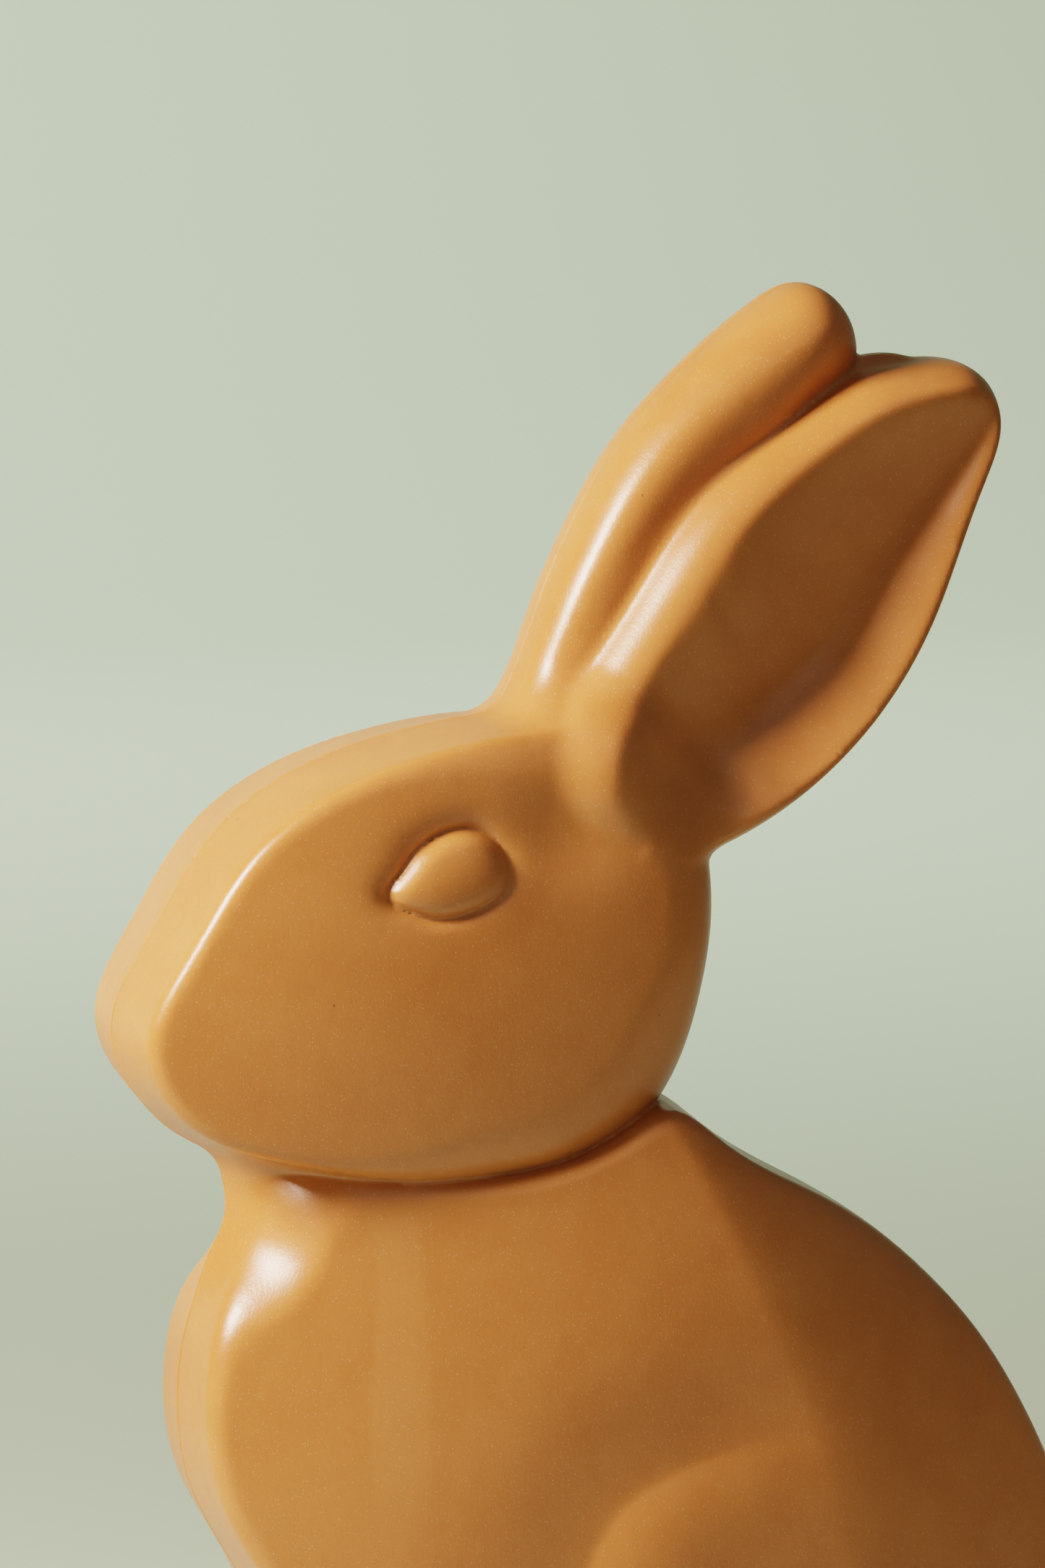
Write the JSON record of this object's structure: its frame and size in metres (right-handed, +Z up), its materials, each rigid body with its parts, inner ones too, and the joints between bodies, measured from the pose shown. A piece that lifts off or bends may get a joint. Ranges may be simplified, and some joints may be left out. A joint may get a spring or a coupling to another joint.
{
  "type": "moulded chocolate rabbit",
  "caption": "Seated rabbit figure in profile, moulded in milk chocolate, with raised ears, an oval eye, a haunch in relief and a flat base.",
  "frame": {"origin": "centre of the bounding box, on the flat base", "axes": "+Z up, -X towards the nose, Y across the two halves of the mould, which meet at Y = 0"},
  "size_m": [0.0993, 0.0308, 0.1499],
  "materials": {
    "milk_chocolate": "semi-gloss"
  },
  "bodies": {
    "root": {"rabbit": "milk_chocolate"}
  },
  "joints": []
}
